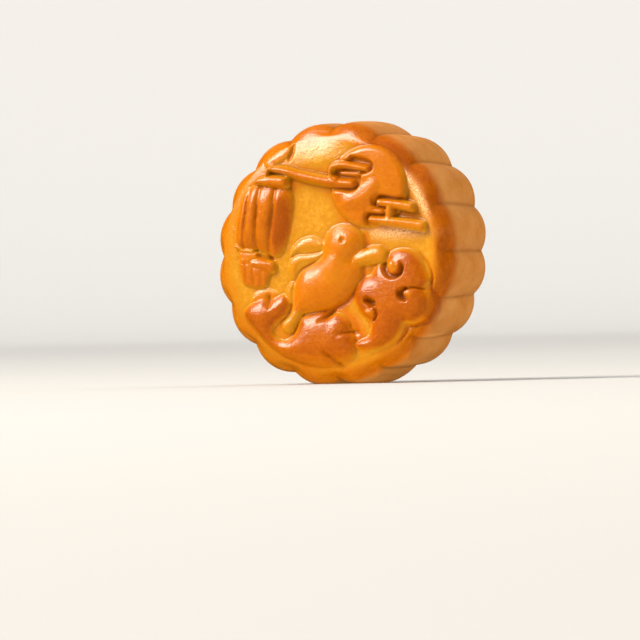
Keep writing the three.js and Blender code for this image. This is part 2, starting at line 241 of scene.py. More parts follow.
@dataclass(frozen=True)
class Outline:
    """A closed, smooth outline through points [x, z] on the face, in millimetres."""

    points: Points

    def inside(self, x: np.ndarray, z: np.ndarray) -> np.ndarray:
        """How far inside the outline each place is.

        Args:
            x: Places across the face.
            z: Places up the face.

        Returns:
            Millimetres to the outline, negative outside it.
        """
        line = spline(self.points, closed=True)
        near, _ = to_line(x, z, np.vstack([line, line[:1]]))
        crossings = np.zeros(x.shape, bool)
        for (ax, az), (bx, bz) in zip(line, np.roll(line, -1, axis=0)):
            spans = (az > z) != (bz > z)
            if spans.any():
                crossings ^= spans & (x < (bx - ax) * (z - az) / (bz - az) + ax)
        return np.where(crossings, near, -near)


@dataclass(frozen=True)
class Stroke:
    """A line with round ends through points [x, z, half width] on the face, in millimetres."""

    points: Points

    def inside(self, x: np.ndarray, z: np.ndarray) -> np.ndarray:
        """How far inside the stroke each place is.

        Args:
            x: Places across the face.
            z: Places up the face.

        Returns:
            Millimetres to the stroke's edge, negative outside it.
        """
        near, half = to_line(x, z, spline(self.points, closed=False))
        return half - near


class Press(Enum):
    """What a shape does to the dough's surface."""

    RAISE = "stands up from the field as a pillow"
    SINK = "flattens whatever is there to a level"
    GOUGE = "cuts an open groove into whatever is there"
    PLEAT = "pinches whatever is there into two round sides"
    # Every use of this press paints shade into the browning, or pales it as painted light.
    PAINTED_LIGHT_AND_SHADE = "browns whatever is there and leaves its level alone"


@dataclass(frozen=True)
class Figure:
    """One shape of the picture and how the mould gives it relief. Lengths are in millimetres."""

    shape: Outline | Stroke
    height: float  # above the field, or how deep a groove or a pleat goes
    press: Press = Press.RAISE
    edge: float = 2.0  # width of its round side
    brown: float = 0.6  # how brown its top is, from 0 on the field to 1 at its deepest
    moat: float = 0.15  # depth of the groove round its foot
    soft: float = 0.3  # fillet against what it stands on
    crown: float = 0.0  # share of its height that lies in a dome
    full: float = 6.0  # how far inside its outline the dome is at its highest

    def apply(
        self, spots: np.ndarray, level: np.ndarray, baked: np.ndarray, cell: float
    ) -> None:
        """Presses the figure into a grid of heights, and browns its top.

        Args:
            spots: Places of the grid's columns across the face, and of its rows up the face.
            level: Height above the field at each row and column, changed in place.
            baked: Browning from 0 to 1 at each row and column, changed in place.
            cell: Spacing of the rows and the columns.
        """
        given = np.array(self.shape.points)
        reach = MARGIN + (given[:, 2].max() if given.shape[1] > 2 else 1.0)
        low, high = given[:, :2].min(0) - reach, given[:, :2].max(0) + reach
        columns = slice(*np.searchsorted(spots, (low[0], high[0])))
        rows = slice(*np.searchsorted(spots, (low[1], high[1])))
        inside = self.shape.inside(*np.meshgrid(spots[columns], spots[rows]))
        if self.press is not Press.PAINTED_LIGHT_AND_SHADE:
            level[rows, columns] = self._pressed(inside, level[rows, columns], cell)
        if self.press in (Press.PAINTED_LIGHT_AND_SHADE, Press.RAISE):
            ends = BROWNED if self.press is Press.RAISE else (-self.edge, self.edge)
            baked[rows, columns] += ease(*ends, inside) * (self.brown - baked[rows, columns])

    def _pressed(self, inside: np.ndarray, level: np.ndarray, cell: float) -> np.ndarray:
        """Works out the heights that the figure leaves behind.

        Args:
            inside: How far inside the figure each place is.
            level: Heights before it is pressed.
            cell: Spacing of the places.

        Returns:
            The new heights.
        """
        share = np.clip(inside / self.edge, 0.0, 1.0)
        if self.press is Press.GOUGE:
            return level - self.height * share * (2.0 - share)
        if self.press is Press.PLEAT:
            return level - self.height * (1.0 - np.sqrt(1.0 - share**2))
        if self.press is Press.SINK:
            share = ease(-self.edge / 2, self.edge / 2, inside)
            return level * (1 - share) + np.minimum(level, self.height) * share
        share = np.clip((inside + FOOT) / self.edge, 0.0, 1.0)
        pillow = np.sqrt(1.0 - (1.0 - share) ** 2)
        if self.crown > 0:
            slope = np.sin(np.clip(inside / self.full, 0.0, 1.0) * math.pi / 2)
            pillow *= 1.0 - self.crown + self.crown * blurred(slope, DOME_SOFT / cell)
        ditch = level - self.moat * hill(inside, 0.0, MOAT_HALF)
        raised = (self.height + self.moat) * pillow - self.moat
        return np.where(inside > -FOOT, higher(ditch, raised, self.soft), ditch)


def mark(line: Points, height: float, press: Press = Press.RAISE, **more: float) -> Figure:
    """A figure along a line [x, z, half width], with sides as broad as the line is at its widest."""
    return Figure(Stroke(line), height, press, edge=max(p[2] for p in line), **more)


# ---- The picture ----


@dataclass
class Moon:
    """The full moon with two bands of drifting cloud let into it."""

    centre: Pair = (12.4, 19.4)
    radius: float = 11.8
    height: float = 2.5
    pocket_floor: float = 0.5
    ring_points: int = 24

    def figures(self) -> list[Figure]:
        """Lays out the disc, its swelling, its pockets and the bands in them.

        Returns:
            Figures in the order in which they lie on each other.
        """
        turns = [math.tau * i / self.ring_points for i in range(self.ring_points)]
        x, z = self.centre
        ring = tuple((x + self.radius * math.cos(t), z + self.radius * math.sin(t)) for t in turns)
        swelling = Stroke(((6.4, 14.8, 2.2), (10.0, 15.8, 3.0), (12.8, 17.7, 3.0), (14.2, 19.6, 2.2)))
        return [
            Figure(Outline(ring), self.height, edge=1.8, brown=0.6, crown=0.2, full=9.0),
            *(Figure(shape, self.pocket_floor, Press.SINK, edge=1.0) for shape in self._pockets()),
            Figure(swelling, 2.7, edge=5.0, moat=0.0, soft=2.6),
            *(
                Figure(Stroke(line), top, edge=line[0][2] + FOOT, brown=0.5, moat=0.1)
                for line, top in self._bands()
            ),
        ]

    def _pockets(self) -> list[Outline]:
        """Draws the two hollows that the bands lie in.

        Returns:
            The upper and the lower hollow.
        """
        upper = Outline((
            (6.4, 26.9), (7.0, 27.9), (9.3, 27.7), (12.0, 27.2), (13.8, 25.9), (13.8, 24.4),
            (12.4, 23.4), (10.4, 22.7), (10.2, 21.2), (9.6, 19.4), (8.4, 18.2), (6.6, 17.8),
            (3.0, 18.2), (-1.0, 18.6), (-1.0, 26.0), (2.4, 26.4),
        ))
        lower = Outline((
            (26.0, 15.9), (21.0, 16.3), (17.6, 16.9), (15.1, 16.8), (13.9, 15.6), (14.2, 14.0),
            (15.4, 13.3), (15.0, 12.9), (13.2, 12.4), (11.9, 11.4), (11.6, 9.6), (12.4, 8.0),
            (14.0, 6.5), (26.0, 6.5),
        ))
        return [upper, lower]

    def _bands(self) -> list[tuple[Points, float]]:
        """Draws the bands: a bar and a hairpin above, three bars and a link below.

        Returns:
            The line of each and its height.
        """
        return [
            (((4.0, 23.1, 0.55), (9.6, 22.9, 0.7)), 1.7),
            (
                (
                    (2.6, 21.2, 0.9), (1.1, 22.2, 0.85), (0.8, 23.8, 0.85), (2.0, 25.1, 0.95),
                    (5.0, 25.5, 1.0), (8.5, 25.0, 1.0), (12.1, 24.4, 0.95),
                ),
                2.7,
            ),
            (((12.8, 12.5, 0.8), (16.8, 12.3, 0.8)), 2.2),
            (((19.3, 13.8, 1.5), (19.0, 10.2, 1.5)), 2.5),
            (((16.0, 14.9, 1.1), (20.0, 14.5, 1.25), (25.6, 13.6, 1.45)), 2.6),
            (((13.6, 9.9, 1.1), (20.0, 9.3, 1.4), (29.2, 8.2, 1.6)), 2.7),
        ]


@dataclass
class Lantern:
    """A ribbed lantern with a cap, a knot and a tassel, hung from a pole."""

    height: float = 2.9
    top_height: float = 2.6
    pleat: float = 1.7
    strand: float = 0.35

    def figures(self) -> list[Figure]:
        """The ribbed body, the foot, and the cap with its pole."""
        return self._body() + self._foot() + self._top()

    def _body(self) -> list[Figure]:
        """Draws the barrel, the pleats between its ribs and the painted shade on its last rib.

        Returns:
            Figures in the order in which they lie on each other.
        """
        barrel = Outline((
            (-27.3, 16.2), (-28.8, 11.5), (-29.5, 7.0), (-29.3, 2.8), (-28.0, 1.1),
            (-25.2, 0.8), (-22.0, 0.6), (-19.6, 0.0), (-17.4, -1.1), (-15.3, -0.5),
            (-13.7, 2.0), (-12.7, 6.5), (-11.8, 11.0), (-11.4, 15.2), (-12.5, 18.3),
            (-15.4, 19.4), (-20.0, 19.6), (-24.2, 19.2), (-26.0, 18.0),
        ))
        pleats = (
            ((-25.0, 18.6, 1.0), (-25.7, 13.0, 1.2), (-26.3, 7.4, 1.2), (-26.6, 1.2, 1.0)),
            ((-21.6, 19.2, 1.3), (-22.1, 13.5, 1.7), (-22.5, 7.4, 1.7), (-22.6, 0.4, 1.5)),
            ((-16.9, 19.4, 1.5), (-17.1, 13.5, 1.9), (-17.8, 7.4, 1.9), (-18.7, -0.2, 1.6)),
        )
        last_rib = Stroke(((-14.4, 14.5, 1.8), (-14.8, 8.0, 2.5), (-15.6, 3.6, 1.8)))
        return [
            Figure(barrel, self.height, edge=5.5, brown=0.68, crown=0.35, full=8.5),
            *(mark(line, self.pleat, Press.PLEAT) for line in pleats),
            # Painted shade: the last rib turns away from the light, so it is browned darker.
            Figure(last_rib, 0.0, Press.PAINTED_LIGHT_AND_SHADE, edge=1.4, brown=1.0),
        ]

    def _foot(self) -> list[Figure]:
        """Draws the neck with its collar, the tassel with its strands, and the knot.

        Returns:
            Figures in the order in which they lie on each other.
        """
        neck = Outline((
            (-28.2, 1.2), (-26.0, 0.6), (-22.8, 0.3), (-19.8, -0.6), (-18.7, -2.2),
            (-20.0, -3.2), (-24.0, -3.0), (-27.6, -2.6),
        ))
        collar = Stroke(((-29.3, 2.0, 0.45), (-27.0, 0.7, 0.5), (-23.8, 0.4, 0.45)))
        hollow = Stroke(((-21.8, -0.7, 0.9), (-18.4, -1.9, 1.0)))
        tassel = Outline((
            (-28.0, -1.6), (-27.5, -6.6), (-26.4, -9.2), (-22.8, -10.1), (-19.9, -9.8),
            (-18.9, -7.4), (-18.4, -4.6), (-22.0, -1.6),
        ))
        gaps = (
            ((-25.9, -2.4, 0.9), (-25.4, -8.6, 0.9)),
            ((-23.4, -4.2, 0.9), (-23.0, -9.2, 0.9)),
            ((-20.8, -5.6, 0.9), (-20.6, -9.0, 0.9)),
        )
        knot = Stroke(((-23.6, -3.0, 1.0), (-21.5, -3.2, 1.4), (-18.4, -4.0, 1.9)))
        return [
            Figure(tassel, 1.3, edge=1.6, brown=0.68),
            *(mark(line, self.strand, Press.PLEAT) for line in gaps),
            Figure(neck, 1.1, edge=1.2, brown=0.5),
            Figure(collar, 1.3, edge=0.7, brown=0.2),
            Figure(hollow, 1.4, Press.GOUGE, edge=0.9),
            Figure(knot, 1.7, edge=1.5, brown=0.68),
        ]

    def _top(self) -> list[Figure]:
        """Draws the cap, the pole and its hook, with the mound and the nick in the rim beside them.

        Returns:
            Figures in the order in which they lie on each other.
        """
        cap = Outline((
            (-23.4, 19.6), (-23.0, 21.3), (-20.0, 22.3), (-16.4, 22.3), (-12.9, 22.0),
            (-12.5, 20.8), (-12.7, 19.0), (-14.6, 18.5), (-18.0, 18.9), (-21.2, 19.3),
        ))
        pole = Stroke((
            (-17.9, 24.1, 0.9), (-14.2, 23.8, 1.25), (-9.4, 22.4, 1.5), (-3.0, 21.1, 1.6),
            (3.3, 20.3, 1.5), (7.3, 20.1, 1.35),
        ))
        hook = Stroke(((-18.0, 24.4, 0.8), (-19.2, 23.8, 0.75), (-19.5, 22.0, 0.6)))
        mound = Stroke(((-19.4, 26.0, 1.6), (-16.6, 27.6, 1.8), (-14.4, 29.4, 1.6)))
        nick = ((-12.2, 31.0, 0.5), (-12.3, 29.0, 0.8), (-13.0, 27.0, 0.8))
        return [
            Figure(mound, 0.55, edge=2.4, brown=0.5, moat=0.1, soft=0.6),
            mark(nick, 0.7, Press.GOUGE),
            Figure(cap, self.top_height, edge=1.6, brown=0.6),
            Figure(hook, 2.4, edge=0.95, brown=0.5),
            Figure(pole, self.top_height, edge=1.75, brown=0.65),
        ]


@dataclass
class Rabbit:
    """A rabbit sitting up towards the moon, with its ears laid back."""

    height: float = 2.9
    neck_height: float = 2.8
    ear_height: float = 1.0

    def figures(self) -> list[Figure]:
        """Lays out the hollows beside and below it with their painted shadow, the limbs, the body, the
        head, the neck and the eye.

        Returns:
            Figures in the order in which they lie on each other.
        """
        hind_leg = Stroke(((-8.8, -14.5, 2.4), (-10.3, -18.0, 1.7), (-12.3, -20.9, 2.1)))
        fore_leg = Stroke(((9.0, -1.7, 1.9), (12.4, -0.6, 2.4), (15.2, -0.1, 2.5), (16.4, -0.3, 2.2)))
        tail = Stroke(((-11.4, -9.0, 0.8), (-12.1, -11.2, 1.4), (-11.5, -13.4, 1.1)))
        body = Outline((
            (-2.2, -1.0), (-5.0, -3.2), (-8.2, -5.0), (-10.2, -7.8), (-10.9, -11.0),
            (-10.9, -14.4), (-9.6, -17.0), (-6.0, -16.9), (-2.5, -16.2), (1.0, -15.3),
            (4.5, -13.7), (6.8, -11.4), (9.0, -8.6), (10.4, -6.0), (10.4, -3.4), (8.6, -1.6),
            (4.0, 2.0), (-0.5, 2.0),
        ))
        head = Outline((
            (-1.7, 0.2), (-1.7, 2.4), (-0.8, 5.2), (1.4, 7.5), (4.6, 8.3), (8.0, 7.6),
            (10.3, 5.6), (11.0, 3.0), (10.4, 0.6), (8.6, -1.6), (3.5, -3.0), (0.0, -2.0),
        ))
        neck = Stroke(((5.2, 2.2, 3.6), (3.6, -1.0, 3.9), (1.8, -4.2, 4.6)))
        eye = ((4.9, 4.1, 0.85), (4.9, 3.8, 0.85))
        return [
            *self._hollows_and_shadow(),
            Figure(fore_leg, 2.0, edge=3.1, brown=0.28, moat=0.05, soft=0.6),
            *self._ears(),
            Figure(tail, 0.9, edge=1.3, brown=0.2),
            Figure(hind_leg, 1.6, edge=2.0, brown=0.25),
            Figure(body, self.height, edge=4.0, brown=0.55, crown=0.4, full=7.0, moat=0.05),
            Figure(head, self.height, edge=3.8, brown=0.5, crown=0.6, moat=0.0, soft=1.0),
            Figure(neck, self.neck_height, edge=4.0, brown=0.5, crown=0.4, moat=0.0, soft=1.4),
            mark(eye, 0.8, Press.GOUGE),
        ]

    def _hollows_and_shadow(self) -> list[Figure]:
        """Draws the shallow hollows along the right of the head and below the body, and the shadow painted
        into them.

        Returns:
            Figures in the order in which they lie on each other.
        """
        lines = (
            ((10.9, 6.0, 0.3), (11.9, 3.0, 0.6), (11.2, 0.4, 0.3)),
            (
                (11.1, -3.8, 0.4), (11.1, -6.2, 0.6), (9.7, -9.0, 0.8), (7.4, -11.9, 0.9),
                (5.0, -14.2, 1.0), (1.3, -15.9, 1.0), (-2.3, -16.9, 0.8), (-6.0, -17.6, 0.4),
            ),
        )
        return [
            *(Figure(Stroke(line), 0.15, Press.GOUGE, edge=1.0) for line in lines),
            # Painted shadow: these stains darken the field where the head and body throw shade.
            *(Figure(Stroke(line), 0.0, Press.PAINTED_LIGHT_AND_SHADE, edge=0.9, brown=1.05) for line in lines),
        ]

    def _ears(self) -> list[Figure]:
        """Draws the two ears and the shallow hollow in each.

        Returns:
            Figures in the order in which they lie on each other.
        """
        upper = Outline((
            (-1.3, 3.3), (-3.4, 4.2), (-5.6, 4.8), (-8.4, 4.2), (-10.6, 2.6), (-12.0, 0.6),
            (-12.0, -0.9), (-9.8, 0.1), (-7.6, 0.0), (-5.4, 0.2), (-3.2, 0.5), (-1.3, 1.6),
        ))
        lower = Outline((
            (-1.5, 1.2), (-3.4, 0.2), (-6.0, -0.3), (-8.0, -0.3), (-10.0, -0.5), (-12.0, -1.9),
            (-12.7, -4.2), (-12.0, -6.4), (-10.8, -8.0), (-10.2, -7.0), (-8.9, -5.2),
            (-7.4, -3.8), (-5.2, -2.7), (-3.0, -1.8), (-1.6, -0.5),
        ))
        hollows = (
            ((-3.0, 1.6, 0.5), (-6.0, 1.2, 0.9), (-9.0, 0.9, 0.7)),
            ((-3.4, -1.0, 0.4), (-6.4, -1.9, 0.7), (-9.2, -3.2, 0.8), (-10.6, -5.2, 0.5)),
        )
        return [
            *(
                Figure(ear, self.ear_height, edge=2.5, brown=0.18, moat=0.08)
                for ear in (lower, upper)
            ),
            *(mark(line, 0.12, Press.GOUGE) for line in hollows),
        ]


@dataclass
class ScrollCloud:
    """A scrolled cloud with three curls and a tail."""

    height: float = 2.6
    lip: float = 0.7

    def figures(self) -> list[Figure]:
        """Lays out the cloud, the grooves that turn its lobes into curls and the balls inside them.

        Returns:
            Figures in the order in which they lie on each other.
        """
        cloud = Outline((
            (18.2, -1.4), (19.4, 0.6), (22.2, 1.6), (25.2, 1.3), (28.0, -0.4), (29.8, -3.0),
            (31.2, -5.6), (31.5, -7.6), (30.4, -9.3), (31.5, -12.0), (31.5, -15.0),
            (29.8, -17.8), (27.0, -19.3), (24.0, -19.5), (22.9, -21.9), (20.3, -24.9),
            (16.3, -27.0), (12.0, -27.4), (9.5, -26.8), (9.0, -25.5), (10.3, -24.7),
            (12.6, -23.7), (13.3, -21.8), (13.4, -19.6), (11.6, -18.2), (9.2, -15.9),
            (8.1, -12.8), (8.6, -9.6), (10.6, -7.2), (13.2, -6.0), (14.4, -3.8),
            (15.8, -2.6), (17.0, -3.0),
        ))
        grooves = (
            (((17.4, -2.6, 0.7), (18.1, -4.8, 0.8), (20.2, -6.2, 0.9), (22.5, -5.5, 1.0),
              (23.4, -3.7, 0.8), (22.9, -2.2, 0.3)), 2.0),
            (((24.4, -9.7, 0.7), (23.2, -10.6, 1.0), (23.6, -12.1, 1.0), (25.0, -13.0, 0.5)), 2.3),
            (((24.4, -9.6, 0.6), (27.0, -9.3, 0.55), (29.2, -9.6, 0.5), (30.3, -10.0, 0.3)), 1.2),
            (((12.7, -13.1, 1.2), (14.3, -14.0, 1.3)), 2.5),
            (((15.3, -15.0, 0.5), (15.8, -17.0, 0.55), (14.8, -18.8, 0.5)), 1.2),
        )
        under = (
            (28.2, 0.6, 0.3), (31.0, -2.6, 0.5), (32.3, -5.8, 0.55), (31.9, -9.0, 0.5),
            (32.5, -12.0, 0.55), (32.4, -15.4, 0.55), (30.4, -18.6, 0.6), (27.2, -20.1, 0.6),
            (24.7, -20.7, 0.6), (23.6, -22.6, 0.55), (21.2, -25.4, 0.3),
        )
        balls = (
            (((20.4, -3.0, 1.9), (20.6, -3.3, 1.9)), 2.7, 0.35),
            (((12.9, -16.4, 1.3), (13.9, -16.7, 1.4)), 2.4, 0.6),
            (((25.6, -10.9, 0.9), (26.6, -11.3, 0.9)), 2.7, 0.5),
        )
        return [
            mark(under, self.lip, Press.GOUGE),
            Figure(cloud, self.height, edge=3.0, brown=0.92, crown=0.5, moat=0.1),
            *(mark(line, deep, Press.GOUGE) for line, deep in grooves),
            *(mark(line, top, brown=brown, moat=0.0) for line, top, brown in balls),
        ]


@dataclass
class CloudBank:
    """The bank of cloud below the rabbit, with a low puff behind it."""

    height: float = 2.6
    crease: float = 1.8

    def figures(self) -> list[Figure]:
        """Lays out the puff, the bank and its creases, with painted shade beside it and painted light on
        its lower edge.

        Returns:
            Figures in the order in which they lie on each other.
        """
        painted_shade_strip = Stroke(((3.5, -14.5, 0.4), (8.0, -19.5, 1.6), (10.6, -25.5, 2.2)))
        puff = Outline((
            (-24.2, -14.2), (-23.0, -11.8), (-20.3, -10.6), (-17.0, -10.9), (-14.8, -12.6),
            (-17.0, -15.0), (-21.0, -16.0),
        ))
        bank = Outline((
            (-26.8, -17.0), (-25.0, -15.2), (-22.8, -14.0), (-20.6, -13.2), (-18.4, -13.7),
            (-16.2, -12.6), (-13.9, -11.9), (-12.2, -13.2), (-11.8, -14.8), (-12.6, -16.6),
            (-13.4, -18.2), (-15.2, -19.4), (-17.0, -21.4), (-16.8, -23.6), (-14.8, -25.0),
            (-12.2, -24.7), (-10.2, -22.6), (-9.2, -20.2), (-8.2, -18.4), (-5.6, -17.5),
            (-2.8, -16.8), (-0.4, -17.0), (0.6, -17.7), (2.6, -17.1), (5.2, -18.0),
            (6.9, -19.8), (7.3, -22.0), (8.6, -24.2), (9.0, -26.6), (8.4, -28.8),
            (6.4, -30.3), (3.4, -30.9), (1.6, -32.0), (-1.4, -32.4), (-5.5, -32.2),
            (-10.5, -31.0), (-15.5, -28.9), (-20.0, -25.6), (-23.6, -22.0), (-26.0, -19.4),
        ))
        painted_light_edge = Stroke(((-21.0, -26.0, 1.0), (-10.5, -31.0, 2.2), (0.0, -32.4, 2.2), (7.0, -30.0, 0.6)))
        creases = (
            ((1.4, -16.4, 1.6), (-0.4, -18.2, 1.7), (-2.4, -19.4, 1.3)),
            ((9.0, -22.2, 1.6), (6.0, -22.4, 1.7), (3.4, -23.2, 1.3)),
            ((4.4, -32.2, 1.6), (2.0, -30.2, 1.8), (0.0, -28.8, 1.8), (-1.4, -27.4, 1.2)),
            ((-18.7, -12.6, 1.6), (-18.2, -15.6, 1.2)),
        )
        return [
            # Painted shade in the gap between the bank and the scroll cloud.
            Figure(painted_shade_strip, 0.0, Press.PAINTED_LIGHT_AND_SHADE, edge=2.4, brown=0.8),
            Figure(puff, 0.6, edge=2.4, brown=0.5, moat=0.0, soft=0.8),
            Figure(bank, self.height, edge=3.0, brown=0.9, crown=0.5, moat=0.1),
            *(mark(line, self.crease, Press.PLEAT) for line in creases),
            # Painted light: the bank's lower edge, which faces down, is coloured paler.
            Figure(painted_light_edge, 0.0, Press.PAINTED_LIGHT_AND_SHADE, edge=2.6, brown=0.55),
        ]


@dataclass
class Picture:
    """The whole pressed picture. Lengths are in millimetres."""

    turn_deg: float = -1.9  # how far it is turned on the cake
    reach: float = 36.0  # half the side of the square that holds it
    cell: float = 0.18
    soften: float = 0.16  # rounding of its sharpest edges
    fold_width: float = 0.9  # breadth over which a fold is looked for
    around_width: float = 2.6  # breadth over which a hollow is looked for
    brown_width: float = 0.3  # softening of the browning's edges
    figures: list[Figure] = field(default_factory=list)

    def __post_init__(self) -> None:
        """Collects the figures, from the lowest to the one on top."""
        for part in (Moon(), Lantern(), CloudBank(), ScrollCloud(), Rabbit()):
            self.figures += part.figures()

    def at(self, x: np.ndarray, z: np.ndarray) -> tuple[np.ndarray, ...]:
        """Relief at places of the face.

        Args:
            x: Places across the face, from its middle, in millimetres.
            z: Places up the face.

        Returns:
            Millimetres above the field, browning from 0 to 1, how far each place lies down in a
            fold, and how far it lies below what is around it, both in millimetres.
        """
        spots = np.arange(-self.reach, self.reach, self.cell)
        level = np.zeros((len(spots), len(spots)))
        baked = np.zeros_like(level)
        for figure in self.figures:
            figure.apply(spots, level, baked, self.cell)
        level = blurred(level, self.soften / self.cell)
        fold = blurred(level, self.fold_width / self.cell) - level
        around = blurred(level, self.around_width / self.cell) - level
        baked = blurred(baked, self.brown_width / self.cell)
        turn = math.radians(-self.turn_deg)
        column = (x * math.cos(turn) - z * math.sin(turn) + self.reach) / self.cell
        row = (x * math.sin(turn) + z * math.cos(turn) + self.reach) / self.cell
        return tuple(between_cells(grid, column, row) for grid in (level, baked, fold, around))


# ---- The cake's body ----


@dataclass
class Skin:
    """Places on the cake's skin, one row for each vertex. Lengths are in millimetres.

    Attributes:
        radius: Radii on the round cake, before lobes and oval.
        y: Depths.
        x: Places across the face.
        z: Places up the face.
        turn: Angles from the middle of the nearest lobe.
        lobed: How strongly the lobes show, 0 to 1.
        tops: Browning of the figures.
        fold: How far each place lies down in a fold of the figures.
        around: How far each place lies below what is around it.
    """

    radius: np.ndarray
    y: np.ndarray
    x: np.ndarray
    z: np.ndarray
    turn: np.ndarray
    lobed: np.ndarray
    tops: np.ndarray
    fold: np.ndarray
    around: np.ndarray


@dataclass(frozen=True)
class Bake:
    """How the oven and the egg brush marked the crust, with painted shade and painted highlights. Lengths
    are in millimetres.
    """

    brown_side: float = 0.35  # where the rim is brownest, in radians from the right
    rim_brown: Pair = (0.42, 0.5)  # browning of the rim, and what its brownest side has more
    rim_from: Pair = (28.5, 2.5)  # radius at which it starts, and how much later on that side
    rim_full: float = 36.0
    hollow_shade: float = 0.5  # browning painted into the field's hollows: painted shade, with some egg wash pooled there
    hollow_shade_depths: Pair = (0.15, 1.1)
    wash: float = 5.2  # how far down from the face the brush reached
    wash_ends: Pair = (1.0, 0.1)  # how much further at top and bottom, and their turn in radians
    wash_waves: Points = ((0.35, 5), (0.25, 11))  # unevenness: height and number of waves
    wash_run: Triple = (2.2, -0.12, 0.22)  # a run down the right: length, middle and half angle
    wash_short: float = 1.2  # how much less it reached on the middle of a lobe
    wash_fade: Pair = (-2.4, 2.6)
    crease_half: float = 0.016  # half width of the painted shade in the crease between lobes, in radians
    # Strengths of the shade painted into the lobes' creases and the figures' folds, and the fold depths
    # over which it grows
    crease_shade: float = 0.5
    fold_shade: float = 0.85
    fold_depth: Pair = (0.2, 1.0)
    highlight_ring: Pair = (32.6, 1.3)  # radius and half width of the painted highlight strip inside the rim
    highlight_turns: tuple[Pair, Pair] = ((0.2, 0.45), (0.95, 0.75))  # where it fades in and out
    highlight_bar: tuple[Pair, Pair] = ((20.0, 9.0), (5.6, 1.6))  # middle and half size of a painted highlight patch by the moon's lower band
    highlight_share: float = 0.8  # how strong that painted highlight is
    plain: float = 0.05  # browning below which a place counts as field

    def marks(self, skin: Skin, step: float, face_y: float) -> dict[str, np.ndarray]:
        """Works out how brown and plain the crust is, and where shade and highlights are painted on it.

        Args:
            skin: Places on the cake's skin.
            step: Angle from one lobe to the next.
            face_y: Depth of the rim's front.

        Returns:
            Values from 0 to 1 for each attribute of the crust.
        """
        angle = np.arctan2(skin.z, skin.x)
        field_only = skin.tops < self.plain
        sunny = 0.5 + 0.5 * np.cos(angle - self.brown_side)
        rim = (self.rim_brown[0] + self.rim_brown[1] * sunny) * ease(
            self.rim_from[0] + self.rim_from[1] * sunny, self.rim_full, skin.radius
        )
        # Painted shade: the field browns where it lies below what is around it, partly as pooled egg wash.
        shaded_hollows = self.hollow_shade * ease(*self.hollow_shade_depths, skin.around) * field_only
        run, middle, half = self.wash_run
        washed = self.wash + self.wash_ends[0] * np.sin(angle - self.wash_ends[1]) ** 2
        washed += sum(tall * np.sin(waves * angle) for tall, waves in self.wash_waves)
        washed += run * hill(angle, middle, half)
        washed -= self.wash_short * (0.5 + 0.5 * np.cos(math.tau * skin.turn / step)) * skin.lobed
        crease = hill(np.abs(skin.turn), step / 2, self.crease_half) * skin.lobed
        # Painted highlight: a speckled pale strip inside the upper right rim, and a patch on the field by
        # the moon's lower band.
        strip = hill(skin.radius, *self.highlight_ring)
        for turns in self.highlight_turns:
            strip *= ease(*turns, angle)
        across, up = self.highlight_bar
        bar = hill(skin.x, *across) * hill(skin.z, *up) * (skin.around > 0.0)
        return {
            "browning": np.maximum(rim, skin.tops) + shaded_hollows,
            "wall": ease(*self.wash_fade, skin.y - face_y - washed),
            # Painted shade: darker in the creases between lobes and in the figures' folds.
            "fold": np.maximum(
                crease * self.crease_shade, self.fold_shade * ease(*self.fold_depth, skin.fold)
            ),
            "painted_highlight": np.clip(strip + self.highlight_share * bar, 0.0, 1.0) * field_only,
        }


